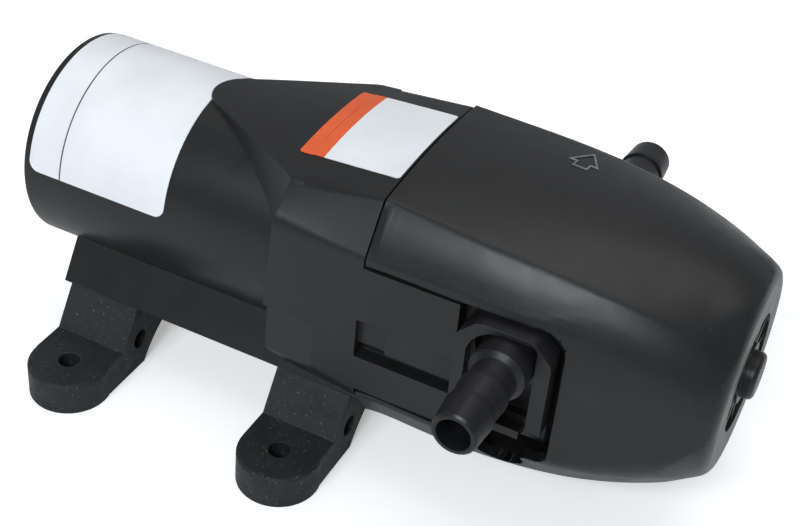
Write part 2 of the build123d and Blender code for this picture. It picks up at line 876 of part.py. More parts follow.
# Hose tail fitting turned about the port axis, with a bore right through
def port_fitting(side):
    tip_radius = tail_radius * tip_radius_share
    lip = tail_radius - tip_radius
    ring_low = spigot_start + oring_inset
    ring_high = ring_low + 2 * oring_wire + slide_gap
    ring_root = spigot_radius - 2 * oring_wire
    ridges = []
    place = first_ridge
    while place + ridge_pitch <= port_reach - lip:
        ridges += [(tail_radius, place), (ridge_radius, place), (ridge_radius, place + ridge_land)]
        place += ridge_pitch
    profile = [(spigot_bore, spigot_start), (spigot_radius - lip, spigot_start),
               (spigot_radius, spigot_start + lip), (spigot_radius, ring_low),
               (ring_root, ring_low), (ring_root, ring_high),
               (spigot_radius, ring_high), (spigot_radius, flange_start),
               (flange_radius, flange_start), (flange_radius, flange_end), (neck_radius, flange_end),
               (neck_radius, neck_end), (collar_radius, neck_end),
               (collar_radius, collar_end - collar_round),
               (collar_radius - collar_round, collar_end),
               (tail_radius, collar_end), *ridges,
               (tail_radius, port_reach - lip), (tip_radius, port_reach),
               (port_bore, port_reach), (port_bore, neck_end), (spigot_bore, neck_end - lip)]
    turned = revolve(make_face(Polyline(*profile, close=True)), Axis.Y)
    if side < 0:
        turned = mirror(turned, Plane.XZ)
    return Pos(port_x, 0, port_height) * turned


def port_oring(side):
    ring_middle = spigot_start + oring_inset + oring_wire + slide_gap / 2
    ring_radius = spigot_radius - oring_wire
    return Pos(port_x, side * ring_middle, port_height) * Rot(90, 0, 0) * Torus(ring_radius, oring_wire)


# Face drawn in X and Z, thickened between two distances from the middle on the side asked for
def side_plate(face, side, near, far):
    plate = extrude(Plane.XZ * face, far - near)
    return Pos(0, far if side > 0 else -near, 0) * plate


# Outline of the clip, open at the foot between the bottom bar and the front leg
def clip_outline():
    bar_end = clip_end - leg_width - leg_split
    points = [(clip_start, clip_low), (bar_end, clip_low), (bar_end, leg_low + leg_split),
              (clip_end - leg_width, leg_low + leg_split), (clip_end - leg_width, leg_low),
              (clip_end, leg_low), (clip_end, clip_top - clip_chamfer), (clip_end - clip_chamfer, clip_top),
              (clip_start + clip_chamfer, clip_top), (clip_start, clip_top - clip_chamfer)]
    rounds = [0] * 6 + [clip_corner_round] * 4
    return make_face(FilletPolyline(*points, radius=rounds, close=True))


# The rim sits round the fitting; the lip behind it lies off centre and traps the fitting's flange
def port_clip(side):
    lip_x = port_x - clip_travel
    leg_inner = clip_end - leg_width
    outline = clip_outline()
    arm = Pos((arm_start + clip_start + overrun) / 2, (arm_low + arm_top) / 2) * \
        Rectangle(clip_start + overrun - arm_start, arm_top - arm_low)
    lip_slot = Pos((lip_x - lip_radius + leg_inner) / 2, (clip_low + back_foot + lip_low) / 2) * \
        Rectangle(leg_inner - lip_x + lip_radius, lip_low - clip_low - back_foot)
    back = outline - Pos(lip_x, port_height) * Circle(lip_radius) - lip_slot
    rim_top = clip_top - rim_wall
    rim_low = clip_low + rim_foot
    window = FilletPolyline((lip_x, rim_top), (leg_inner, rim_top), (leg_inner, rim_low), (lip_x - rim_radius, rim_low),
                            (lip_x - rim_radius, port_height), radius=[0, rim_corner_round, 0, 0, 0], close=True)
    rim = outline - make_face(window) - Pos(lip_x, port_height - rim_wall) * Circle(rim_radius)
    clip = side_plate(back, side, clip_back, clip_face) + side_plate(arm, side, arm_back, arm_face)
    return clip + side_plate(rim, side, clip_face, clip_face + rim_thickness)


# Domed can of the pressure switch, open towards the pump head for its plunger
def switch_can():
    can = bar(switch_radius, switch_start, switch_end, 0, switch_axis)
    can -= bar(switch_radius - switch_wall, switch_start + switch_wall, switch_end - switch_wall, 0, switch_axis)
    can -= bar(plunger_radius + running_gap, switch_start - overrun, switch_end, 0, switch_axis)
    return can - bar(adjuster_radius + running_gap, switch_start + switch_length / 2, switch_end + overrun, 0, switch_axis)


def switch_plunger():
    start = switch_start + seat_gap
    plunger = bar(plunger_radius, start, start + plunger_length, 0, switch_axis)
    head = start + switch_wall + slide_gap
    return plunger + bar(plunger_head, head, head + plunger_head_thickness, 0, switch_axis)


def switch_spring():
    start = switch_start + seat_gap + switch_wall + slide_gap + plunger_head_thickness + spring_clear
    seat = switch_end - switch_wall - seat_gap - adjuster_seat_thickness
    height = seat - start - 2 * spring_wire - spring_clear
    coil = Helix(height / spring_turns, height, spring_radius)
    section_plane = Plane(origin=coil @ 0, z_dir=coil % 0)
    wire = sweep(section_plane * Circle(spring_wire), path=coil, is_frenet=True)
    return Pos(start + spring_wire, 0, switch_axis) * Rot(0, 90, 0) * wire


def switch_adjuster():
    seat_end = switch_end - switch_wall - seat_gap
    screw = bar(adjuster_seat, seat_end - adjuster_seat_thickness, seat_end, 0, switch_axis)
    screw += bar(adjuster_radius, seat_end, switch_end + adjuster_stub, 0, switch_axis)
    slot = block((switch_end + adjuster_stub / 2, -adjuster_slot / 2, switch_axis - 2 * adjuster_radius),
                 (switch_end + adjuster_stub + overrun, adjuster_slot / 2, switch_axis + 2 * adjuster_radius))
    return screw - slot


# Rubber cross bar with a lug and fixing hole at each end, and an arch between its legs
def foot(centre):
    half = [(arch_half, 0), (fixing_y, 0), (fixing_y, lug_thickness), (leg_outer_low, lug_thickness),
            (leg_top_half, foot_top)]
    arch = ThreePointArc((-arch_half, 0), (0, arch_rise), (arch_half, 0))
    right = Polyline(*half, (-leg_top_half, foot_top))
    left = Polyline((-leg_top_half, foot_top), (-leg_outer_low, lug_thickness), (-fixing_y, lug_thickness),
                    (-fixing_y, 0), (-arch_half, 0))
    face = make_face(arch + right + left)
    plane = Plane(origin=(centre - leg_half_width, 0, 0), x_dir=(0, 1, 0), z_dir=(1, 0, 0))
    bar_solid = extrude(plane * face, 2 * leg_half_width)
    for side in (-1, 1):
        lug = Pos(centre, side * fixing_y, 0) * Cylinder(lug_radius, lug_thickness, align=low_align)
        rim = lug.edges().filter_by(GeomType.CIRCLE).sort_by(Axis.Z)[-1]
        bar_solid += fillet(rim, lug_edge)
    tongue = Polyline((-groove_half_mouth + tongue_gap, foot_top - overrun),
                      (groove_half_mouth - tongue_gap, foot_top - overrun),
                      (groove_half_mouth - tongue_gap, rail_bottom),
                      (groove_half_root - 2 * tongue_gap, rail_bottom + groove_depth - tongue_gap),
                      (-groove_half_root + 2 * tongue_gap, rail_bottom + groove_depth - tongue_gap),
                      (-groove_half_mouth + tongue_gap, rail_bottom), close=True)
    bar_solid += extrude(plane * make_face(tongue), 2 * leg_half_width)
    for side in (-1, 1):
        bar_solid -= Pos(centre, side * fixing_y, -overrun) * \
            Cylinder(fixing_radius, lug_thickness + 2 * overrun, align=low_align)
        bar_solid -= bar(relief_radius, centre - leg_half_width - overrun, centre + leg_half_width + overrun,
                         side * relief_y, relief_z)
    return bar_solid


def all_parts():
    parts = {
        "rear_housing": rear_housing(),
        "front_cover": front_cover(),
        "rear_cap": rear_cap(),
        "cap_screws": cap_screws(),
        "lead_gland": lead_gland(),
        "rear_bushing": rear_bushing(),
        "motor_can": motor_can(),
        "field_magnets": field_magnets(),
        "brush_holder": brush_holder(),
        "carbon_brushes": carbon_brushes(),
        "brush_springs": brush_springs(),
        "motor_plate": motor_plate(),
        "front_bearing": front_bearing(),
        "piston_housing": piston_housing(),
        "diaphragm": diaphragm(),
        "valve_plate": valve_plate(),
        "inlet_valves": inlet_valves(),
        "outlet_valves": outlet_valves(),
        "pump_head": pump_head(),
        "head_screws": head_screws(),
        "cover_screw": cover_screw(),
        "nose_cap": nose_cap(),
        "switch_can": switch_can(),
        "switch_spring": switch_spring(),
        "switch_plunger": switch_plunger(),
        "switch_adjuster": switch_adjuster(),
        "foot_rear": foot(-fixing_x),
        "foot_front": foot(fixing_x),
        "rotor_shaft": rotor_shaft(),
        "armature_core": armature_core(),
        "armature_windings": armature_windings(),
        "commutator": commutator(),
        "counterweight": counterweight(),
        "eccentric": eccentric(),
        "wobble_bearing": wobble_bearing(),
        "wobble_plate": wobble_plate(),
        "pistons": pistons(),
        "piston_screws": piston_screws(),
    }
    for side, word in ((-1, "left"), (1, "right")):
        parts["port_fitting_" + word] = port_fitting(side)
        parts["port_oring_" + word] = port_oring(side)
        parts["port_clip_" + word] = port_clip(side)
    return parts


def write_parts():
    os.makedirs("parts", exist_ok=True)
    for name, shape in all_parts().items():
        solids = shape if isinstance(shape, list) else [shape]
        flat = [solid for piece in solids for solid in piece.solids()]
        whole = flat[0] if len(flat) == 1 else Compound(children=flat)
        export_step(whole, "parts/" + name + ".step")


write_parts()
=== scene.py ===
import bpy
import json
from math import atan2, cos, degrees, hypot, pi, radians, sin, tan
from mathutils import Matrix, Vector


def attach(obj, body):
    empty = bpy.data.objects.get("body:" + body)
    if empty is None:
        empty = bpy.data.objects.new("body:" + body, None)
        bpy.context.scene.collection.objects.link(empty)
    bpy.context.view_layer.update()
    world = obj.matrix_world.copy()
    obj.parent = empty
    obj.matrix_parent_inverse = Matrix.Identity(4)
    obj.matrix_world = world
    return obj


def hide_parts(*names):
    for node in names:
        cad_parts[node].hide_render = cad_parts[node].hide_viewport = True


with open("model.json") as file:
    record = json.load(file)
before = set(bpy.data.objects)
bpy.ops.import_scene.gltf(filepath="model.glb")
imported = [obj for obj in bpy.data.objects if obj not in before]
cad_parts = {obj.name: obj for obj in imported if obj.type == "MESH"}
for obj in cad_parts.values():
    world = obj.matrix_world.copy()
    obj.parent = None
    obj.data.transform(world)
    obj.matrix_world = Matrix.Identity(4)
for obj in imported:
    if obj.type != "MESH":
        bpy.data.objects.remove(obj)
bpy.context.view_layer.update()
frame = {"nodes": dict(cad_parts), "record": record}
record = frame["record"]
millimetre = 0.001
quarterTurn = 90

# Height of the pump's long axis, and the height from which flat pieces are laid on the roof
axisHeight = 46.0
dropHeight = 90.0


# Camera of the photograph: place in millimetres, turn about Z, tilt and roll in degrees
viewCamera = {
    "place": (149.3, -257.2, 252.8), "turn": 23.4, "tilt": 37.08, "roll": 5.75,
    "focalPixels": 1499.7, "pictureWidth": 800, "sensorWidth": 36.0, "clipStart": 0.01,
}


def makeCamera(values):
    turn, tilt, roll = (radians(values[key]) for key in ("turn", "tilt", "roll"))
    back = Vector((sin(turn) * cos(tilt), -cos(turn) * cos(tilt), sin(tilt)))
    right = Vector((cos(turn), sin(turn), 0))
    up = back.cross(right)
    rolledRight = cos(roll) * right + sin(roll) * up
    rolledUp = -sin(roll) * right + cos(roll) * up
    data = bpy.data.cameras.new("photoCamera")
    data.sensor_width = values["sensorWidth"]
    data.lens = values["sensorWidth"] * values["focalPixels"] / values["pictureWidth"]
    data.clip_start = values["clipStart"]
    camera = bpy.data.objects.new("photoCamera", data)
    place = Vector(values["place"]) * millimetre
    axes = Matrix((rolledRight, rolledUp, back)).transposed().to_4x4()
    camera.matrix_world = Matrix.Translation(place) @ axes
    bpy.context.scene.collection.objects.link(camera)
    bpy.context.scene.camera = camera


makeCamera(viewCamera)
print("stage: camera")


# Studio in metres: a window-like lamp at the front, a weak one overhead, and a surround that is
# brighter behind the pump. The camera itself sees plain white
studio = {
    "surround": (0.94, 0.97, 1.0), "frontStrength": 0.26, "backStrength": 0.5,
    "backward": (-0.2, 0.75, -0.6), "seenColour": (1.0, 1.0, 1.0), "aim": (0.03, 0.0, 0.045),
    "lamps": {
        "windowLamp": {"place": (0.06, -0.95, 0.84), "size": (0.6, 0.18), "power": 10.0,
                       "colour": (0.88, 0.95, 1.0)},
        "overheadLamp": {"place": (0.1, 0.2, 1.25), "size": (1.1, 1.1), "power": 5.5,
                         "colour": (1.0, 1.0, 1.0)},
    },
}


def nodeOf(tree, kind, **values):
    node = tree.nodes.new(kind)
    for key, value in values.items():
        setattr(node, key, value)
    return node


def addRamp(tree, source, low, high, first, last):
    ramp = nodeOf(tree, "ShaderNodeMapRange")
    ends = {"From Min": low, "From Max": high, "To Min": first, "To Max": last}
    for name, value in ends.items():
        ramp.inputs[name].default_value = value
    tree.links.new(source, ramp.inputs["Value"])
    return ramp.outputs["Result"]


def makeSurround(values):
    world = bpy.data.worlds.new("studioWorld")
    bpy.context.scene.world = world
    world.use_nodes = True
    tree = world.node_tree
    tree.nodes.clear()
    surround = nodeOf(tree, "ShaderNodeBackground")
    surround.inputs["Color"].default_value = (*values["surround"], 1)
    direction = nodeOf(tree, "ShaderNodeVectorMath", operation="DOT_PRODUCT")
    direction.inputs[1].default_value = values["backward"]
    tree.links.new(nodeOf(tree, "ShaderNodeTexCoord").outputs["Generated"], direction.inputs[0])
    strength = addRamp(tree, direction.outputs["Value"], -1, 1,
                       values["frontStrength"], values["backStrength"])
    tree.links.new(strength, surround.inputs["Strength"])
    seen = nodeOf(tree, "ShaderNodeBackground")
    seen.inputs["Color"].default_value = (*values["seenColour"], 1)
    rays = nodeOf(tree, "ShaderNodeLightPath")
    either = nodeOf(tree, "ShaderNodeMath", operation="MAXIMUM")
    mix = nodeOf(tree, "ShaderNodeMixShader")
    out = nodeOf(tree, "ShaderNodeOutputWorld")
    tree.links.new(rays.outputs["Is Camera Ray"], either.inputs[0])
    tree.links.new(rays.outputs["Is Transmission Ray"], either.inputs[1])
    tree.links.new(either.outputs[0], mix.inputs[0])
    tree.links.new(surround.outputs[0], mix.inputs[1])
    tree.links.new(seen.outputs[0], mix.inputs[2])
    tree.links.new(mix.outputs[0], out.inputs["Surface"])


def makeLamps(values):
    aim = Vector(values["aim"])
    for name, lamp in values["lamps"].items():
        data = bpy.data.lights.new(name, "AREA")
        data.shape = "RECTANGLE"
        data.size, data.size_y = lamp["size"]
        data.energy = lamp["power"]
        data.color = lamp["colour"]
        light = bpy.data.objects.new(name, data)
        light.location = lamp["place"]
        light.rotation_euler = (aim - light.location).to_track_quat("-Z", "Y").to_euler()
        bpy.context.scene.collection.objects.link(light)


makeSurround(studio)
makeLamps(studio)
bpy.context.scene.view_settings.view_transform = "Standard"
print("stage: studio")


# Pale floor that glows only for the camera, so that it joins the white surround
floorLook = {
    "size": 6.0, "colour": (0.93, 0.93, 0.93), "roughness": 0.9, "shine": 0.0, "glow": 0.35,
}


def makeFloor(values):
    bpy.ops.mesh.primitive_plane_add(size=values["size"], location=(0, 0, 0))
    floor = bpy.context.active_object
    floor.name = "floor"
    material = bpy.data.materials.new("paleFloor")
    material.use_nodes = True
    tree = material.node_tree
    shader = tree.nodes["Principled BSDF"]
    shader.inputs["Base Color"].default_value = (*values["colour"], 1)
    shader.inputs["Roughness"].default_value = values["roughness"]
    shader.inputs["Specular IOR Level"].default_value = values["shine"]
    glow = nodeOf(tree, "ShaderNodeEmission")
    rays = nodeOf(tree, "ShaderNodeLightPath")
    level = nodeOf(tree, "ShaderNodeMath", operation="MULTIPLY")
    level.inputs[1].default_value = values["glow"]
    add = nodeOf(tree, "ShaderNodeAddShader")
    tree.links.new(rays.outputs["Is Camera Ray"], level.inputs[0])
    tree.links.new(level.outputs[0], glow.inputs["Strength"])
    tree.links.new(shader.outputs[0], add.inputs[0])
    tree.links.new(glow.outputs[0], add.inputs[1])
    tree.links.new(add.outputs[0], tree.nodes["Material Output"].inputs["Surface"])
    floor.data.materials.append(material)


makeFloor(floorLook)
print("stage: floor")


# Finishes. Sizes and depths of the patterns are in millimetres, levels are those of the noise
# between which an effect fades in
pattern = {
    "cloudLevels": (0.35, 0.65), "roughLevels": (0.3, 0.7), "stainLevels": (0.4, 0.7),
    "scuffLevels": (0.68, 0.78), "wearAndHighlightLevels": (0.99, 0.8), "speckSpread": 0.06,
    "plainDetail": 3.0, "speckDetail": 2.0, "grainDetail": 4.0, "markDetail": 5.0,
    "scuffDetail": 6.0,
    "edgeSamples": 4, "markStrength": 0.4, "vinylDepth": 0.05, "vinylStrength": 0.15,
}


def startMaterial(name):
    material = bpy.data.materials.new(name)
    material.use_nodes = True
    tree = material.node_tree
    place = nodeOf(tree, "ShaderNodeTexCoord").outputs["Object"]
    return material, tree, tree.nodes["Principled BSDF"], place


def addNoise(tree, place, size, detail=pattern["plainDetail"]):
    noise = nodeOf(tree, "ShaderNodeTexNoise")
    noise.inputs["Scale"].default_value = 1 / (size * millimetre)
    noise.inputs["Detail"].default_value = detail
    tree.links.new(place, noise.inputs["Vector"])
    return noise.outputs["Fac"]


def addColourMix(tree, factor, first, last):
    mix = nodeOf(tree, "ShaderNodeMix", data_type="RGBA")
    tree.links.new(factor, mix.inputs["Factor"])
    for value, socket in ((first, mix.inputs["A"]), (last, mix.inputs["B"])):
        if isinstance(value, tuple):
            socket.default_value = (*value, 1)
        else:
            tree.links.new(value, socket)
    return mix.outputs["Result"]


def addBump(tree, height, depth, strength, base=None):
    bump = nodeOf(tree, "ShaderNodeBump")
    bump.inputs["Distance"].default_value = depth * millimetre
    bump.inputs["Strength"].default_value = strength
    tree.links.new(height, bump.inputs["Height"])
    if base is not None:
        tree.links.new(base, bump.inputs["Normal"])
    return bump.outputs["Normal"]


# Moulded plastic or rubber: cloudy colour, grain, edges lightened partly for wear and partly as a
# painted highlight, and a little dust
def makeMoulded(name, finish):
    material, tree, shader, place = startMaterial(name)
    cloud = addRamp(tree, addNoise(tree, place, finish["cloudSize"]),
                    *pattern["cloudLevels"], 0, 1)
    colour = addColourMix(tree, cloud, finish["dark"], finish["light"])
    rounded = nodeOf(tree, "ShaderNodeBevel", samples=pattern["edgeSamples"])
    rounded.inputs["Radius"].default_value = finish["edgeRadius"] * millimetre
    geometry = nodeOf(tree, "ShaderNodeNewGeometry")
    facing = nodeOf(tree, "ShaderNodeVectorMath", operation="DOT_PRODUCT")
    tree.links.new(rounded.outputs["Normal"], facing.inputs[0])
    tree.links.new(geometry.outputs["Normal"], facing.inputs[1])
    # Edges found from the rounded normal are mixed towards a lighter colour that is partly wear
    # and partly a painted highlight
    wearAndHighlightMask = addRamp(tree, facing.outputs["Value"], *pattern["wearAndHighlightLevels"], 0, finish["edgeWearAndHighlight"])
    colour = addColourMix(tree, wearAndHighlightMask, colour, finish["wearAndHighlightColour"])
    specks = addNoise(tree, place, finish["speckSize"], pattern["speckDetail"])
    dust = addRamp(tree, specks, finish["speckLevel"],
                   finish["speckLevel"] + pattern["speckSpread"], 0, finish["dust"])
    colour = addColourMix(tree, dust, colour, finish["dustColour"])
    tree.links.new(colour, shader.inputs["Base Color"])
    rough = addRamp(tree, addNoise(tree, place, finish["roughSize"]),
                    *pattern["roughLevels"], *finish["roughness"])
    tree.links.new(rough, shader.inputs["Roughness"])
    grain = addNoise(tree, place, finish["grainSize"], pattern["grainDetail"])
    normal = addBump(tree, grain, finish["grainDepth"], finish["grainStrength"],
                     rounded.outputs["Normal"])
    tree.links.new(normal, shader.inputs["Normal"])
    shader.inputs["Specular IOR Level"].default_value = finish["shine"]
    return material


# What the moulded finishes share unless one says otherwise. The lighter edge colour is partly wear
# and partly a painted highlight
mouldedBase = {
    "wearAndHighlightColour": (0.05, 0.05, 0.052), "edgeWearAndHighlight": 0.4, "edgeRadius": 0.2,
    "dustColour": (0.1, 0.1, 0.1), "dust": 0.15, "speckSize": 0.8, "speckLevel": 0.74,
    "roughSize": 2, "grainSize": 0.3, "grainDepth": 0.02, "grainStrength": 0.3, "shine": 0.32,
}
mouldedFinishes = {
    "housing_black": {
        "dark": (0.0105, 0.0105, 0.0108), "light": (0.013, 0.013, 0.0134), "cloudSize": 22,
        "edgeWearAndHighlight": 0.35, "edgeRadius": 0.35, "dustColour": (0.12, 0.12, 0.115), "dust": 0.25,
        "speckSize": 0.9, "speckLevel": 0.72, "roughSize": 6, "roughness": (0.34, 0.41),
        "grainSize": 0.35, "grainStrength": 0.35,
    },
    "clip_black": {
        "dark": (0.01, 0.01, 0.011), "light": (0.014, 0.014, 0.015), "cloudSize": 15,
        "edgeRadius": 0.25, "dustColour": (0.12, 0.12, 0.115), "roughSize": 3,
        "roughness": (0.34, 0.44),
    },
    "port_black": {
        "dark": (0.009, 0.009, 0.01), "light": (0.013, 0.013, 0.014), "cloudSize": 12,
        "roughSize": 3, "roughness": (0.3, 0.42), "shine": 0.26,
    },
    "foot_rubber": {
        "dark": (0.012, 0.0125, 0.014), "light": (0.018, 0.019, 0.021), "cloudSize": 10,
        "wearAndHighlightColour": (0.07, 0.07, 0.07), "edgeRadius": 0.4, "dustColour": (0.2, 0.19, 0.17),
        "dust": 0.45, "speckSize": 0.7, "speckLevel": 0.66, "roughSize": 3,
        "roughness": (0.52, 0.68), "grainSize": 0.4, "grainDepth": 0.04, "grainStrength": 0.4,
    },
    "gland_rubber": {
        "dark": (0.015, 0.015, 0.015), "light": (0.022, 0.022, 0.022), "cloudSize": 4,
        "wearAndHighlightColour": (0.05, 0.05, 0.05), "edgeWearAndHighlight": 0.3, "dustColour": (0.15, 0.15, 0.14),
        "dust": 0.2, "speckSize": 0.6, "speckLevel": 0.7, "roughness": (0.5, 0.62),
        "grainDepth": 0.03,
    },
    "seal_rubber": {
        "dark": (0.008, 0.008, 0.008), "light": (0.012, 0.012, 0.012), "cloudSize": 4,
        "wearAndHighlightColour": (0.03, 0.03, 0.03), "edgeWearAndHighlight": 0.2, "edgeRadius": 0.1, "dust": 0.1,
        "speckSize": 0.5, "speckLevel": 0.75, "roughness": (0.3, 0.4), "grainSize": 0.2,
        "grainDepth": 0.01, "grainStrength": 0.2,
    },
    "switch_black": {
        "dark": (0.015, 0.015, 0.016), "light": (0.022, 0.022, 0.024), "cloudSize": 6,
        "wearAndHighlightColour": (0.06, 0.06, 0.06), "edgeWearAndHighlight": 0.3, "dust": 0.1, "speckSize": 0.6,
        "speckLevel": 0.75, "roughness": (0.35, 0.48),
    },
    "white_plastic": {
        "dark": (0.66, 0.65, 0.6), "light": (0.74, 0.73, 0.69), "cloudSize": 8,
        "wearAndHighlightColour": (0.8, 0.8, 0.78), "edgeWearAndHighlight": 0.3, "dustColour": (0.4, 0.38, 0.34),
        "speckSize": 0.7, "roughness": (0.35, 0.5),
    },
    "magnet_ferrite": {
        "dark": (0.05, 0.05, 0.053), "light": (0.08, 0.08, 0.084), "cloudSize": 5,
        "wearAndHighlightColour": (0.14, 0.14, 0.14), "dustColour": (0.16, 0.14, 0.12), "dust": 0.2,
        "speckSize": 0.5, "speckLevel": 0.7, "roughSize": 1.5, "roughness": (0.55, 0.75),
        "grainSize": 0.25, "grainDepth": 0.05, "grainStrength": 0.5,
    },
    "brush_carbon": {
        "dark": (0.03, 0.03, 0.03), "light": (0.05, 0.05, 0.05), "cloudSize": 2,
        "wearAndHighlightColour": (0.1, 0.1, 0.1), "edgeRadius": 0.15, "dustColour": (0.12, 0.12, 0.12),
        "dust": 0.2, "speckSize": 0.3, "speckLevel": 0.7, "roughSize": 1, "roughness": (0.45, 0.6),
        "grainSize": 0.15, "grainDepth": 0.03, "grainStrength": 0.5,
    },
}


# Metal parts: brushed or turned marks along one direction, with stains
def makeMetal(name, finish):
    material, tree, shader, place = startMaterial(name)
    stretch = nodeOf(tree, "ShaderNodeMapping")
    stretch.inputs["Scale"].default_value = finish["stretch"]
    tree.links.new(place, stretch.inputs["Vector"])
    marks = addNoise(tree, stretch.outputs["Vector"], finish["markSize"], pattern["markDetail"])
    stains = addRamp(tree, addNoise(tree, place, finish["stainSize"]),
                     *pattern["stainLevels"], 0, 1)
    colour = addColourMix(tree, stains, finish["bright"], finish["stained"])
    tree.links.new(colour, shader.inputs["Base Color"])
    rough = addRamp(tree, marks, *pattern["roughLevels"], *finish["roughness"])
    tree.links.new(rough, shader.inputs["Roughness"])
    normal = addBump(tree, marks, finish["markDepth"], pattern["markStrength"])
    tree.links.new(normal, shader.inputs["Normal"])
    shader.inputs["Metallic"].default_value = 1.0
    return material


metalFinishes = {
    "zinc_steel": {
        "bright": (0.58, 0.58, 0.57), "stained": (0.46, 0.46, 0.47), "stretch": (1, 1, 1),
        "markSize": 1.2, "stainSize": 9, "roughness": (0.28, 0.45), "markDepth": 0.01,
    },
    "screw_steel": {
        "bright": (0.52, 0.52, 0.53), "stained": (0.38, 0.37, 0.36), "stretch": (1, 1, 1),
        "markSize": 0.5, "stainSize": 3, "roughness": (0.25, 0.4), "markDepth": 0.01,
    },
    "bearing_steel": {
        "bright": (0.62, 0.62, 0.63), "stained": (0.52, 0.52, 0.53), "stretch": (12, 1, 1),
        "markSize": 1.5, "stainSize": 5, "roughness": (0.15, 0.28), "markDepth": 0.004,
    },
    "weight_iron": {
        "bright": (0.32, 0.32, 0.32), "stained": (0.22, 0.2, 0.18), "stretch": (20, 1, 1),
        "markSize": 2.5, "stainSize": 6, "roughness": (0.4, 0.6), "markDepth": 0.03,
    },
    "copper_parts": {
        "bright": (0.75, 0.36, 0.19), "stained": (0.55, 0.24, 0.12), "stretch": (1, 6, 6),
        "markSize": 1.6, "stainSize": 5, "roughness": (0.25, 0.45), "markDepth": 0.05,
    },
    "bushing_bronze": {
        "bright": (0.62, 0.45, 0.22), "stained": (0.45, 0.31, 0.15), "stretch": (1, 1, 1),
        "markSize": 0.4, "stainSize": 3, "roughness": (0.35, 0.5), "markDepth": 0.02,
    },
    "adjuster_brass": {
        "bright": (0.75, 0.58, 0.27), "stained": (0.58, 0.42, 0.18), "stretch": (12, 1, 1),
        "markSize": 1.2, "stainSize": 3, "roughness": (0.2, 0.35), "markDepth": 0.006,
    },
}


# Printed vinyl, faintly uneven, with small scuffs
def makeVinyl(name, finish):
    material, tree, shader, place = startMaterial(name)
    cloud = addNoise(tree, place, finish["cloudSize"])
    ageing = addRamp(tree, cloud, *pattern["cloudLevels"], 0, 1)
    colour = addColourMix(tree, ageing, finish["plain"], finish["aged"])
    scuffs = addNoise(tree, place, finish["scuffSize"], pattern["scuffDetail"])
    scuffs = addRamp(tree, scuffs, *pattern["scuffLevels"], 0, finish["scuff"])
    colour = addColourMix(tree, scuffs, colour, finish["scuffColour"])
    tree.links.new(colour, shader.inputs["Base Color"])
    rough = addRamp(tree, cloud, *pattern["roughLevels"], *finish["roughness"])
    tree.links.new(rough, shader.inputs["Roughness"])
    normal = addBump(tree, cloud, pattern["vinylDepth"], pattern["vinylStrength"])
    tree.links.new(normal, shader.inputs["Normal"])
    return material


vinylFinishes = {
    "labelWhite": {
        "plain": (0.8, 0.81, 0.83), "aged": (0.74, 0.75, 0.77), "cloudSize": 14, "scuffSize": 1.5,
        "scuff": 0.3, "scuffColour": (0.55, 0.55, 0.55), "roughness": (0.35, 0.5),
    },
    "labelOrange": {
        "plain": (0.78, 0.115, 0.022), "aged": (0.7, 0.1, 0.02), "cloudSize": 9, "scuffSize": 1.2,
        "scuff": 0.3, "scuffColour": (0.6, 0.25, 0.12), "roughness": (0.35, 0.5),
    },
    "labelInk": {
        "plain": (0.02, 0.02, 0.022), "aged": (0.03, 0.03, 0.032), "cloudSize": 4,
        "scuffSize": 0.8, "scuff": 0.3, "scuffColour": (0.2, 0.2, 0.2), "roughness": (0.4, 0.55),
    },
    "arrowGrey": {
        "plain": (0.17, 0.17, 0.172), "aged": (0.12, 0.12, 0.121), "cloudSize": 2,
        "scuffSize": 0.6, "scuff": 0.3, "scuffColour": (0.04, 0.04, 0.04),
        "roughness": (0.4, 0.55),
    },
}

finishes = {name: makeMoulded(name, {**mouldedBase, **own})
            for name, own in mouldedFinishes.items()}
finishes.update({name: makeMetal(name, values) for name, values in metalFinishes.items()})
finishes.update({name: makeVinyl(name, values) for name, values in vinylFinishes.items()})
for entry in record["subparts"]:
    node = frame["nodes"][entry["node"]]
    node.data.materials.clear()
    node.data.materials.append(finishes[entry["material_slot"]])
print("stage: finishes")


# Modelling helpers
def makeActive(piece):
    if bpy.context.mode != "OBJECT":
        bpy.ops.object.mode_set(mode="OBJECT")
    bpy.ops.object.select_all(action="DESELECT")
    piece.select_set(True)
    bpy.context.view_layer.objects.active = piece


def applyTransform(piece):
    makeActive(piece)
    bpy.ops.object.transform_apply(location=True, rotation=True, scale=True)


def applyModifier(piece, kind, **values):
    makeActive(piece)
    modifier = piece.modifiers.new(kind.lower(), kind)
    for key, value in values.items():
        setattr(modifier, key, value)
    bpy.ops.object.modifier_apply(modifier=modifier.name)


def smoothByAngle(piece, angle):
    makeActive(piece)
    bpy.ops.object.shade_smooth_by_angle(angle=radians(angle))


def startEditing(piece, mode="VERT"):
    makeActive(piece)
    bpy.ops.object.mode_set(mode="EDIT")
    bpy.ops.mesh.select_mode(type=mode)
    bpy.ops.mesh.select_all(action="SELECT")


def cutPlane(point, normal):
    bpy.ops.mesh.select_all(action="SELECT")
    bpy.ops.mesh.bisect(plane_co=point, plane_no=normal)


def cutAcross(piece, axis, places):
    startEditing(piece)
    normal = [float(index == axis) for index in range(3)]
    for place in places:
        cutPlane([place * value for value in normal], normal)
    bpy.ops.object.mode_set(mode="OBJECT")


def spread(low, high, count):
    return [low + (high - low) * index / (count + 1) for index in range(1, count + 1)]


def finishPiece(piece, name, body, materials):
    applyTransform(piece)
    piece.name = name
    piece.data.name = name
    piece.data.materials.clear()
    for material in materials:
        piece.data.materials.append(finishes[material])
    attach(piece, body)


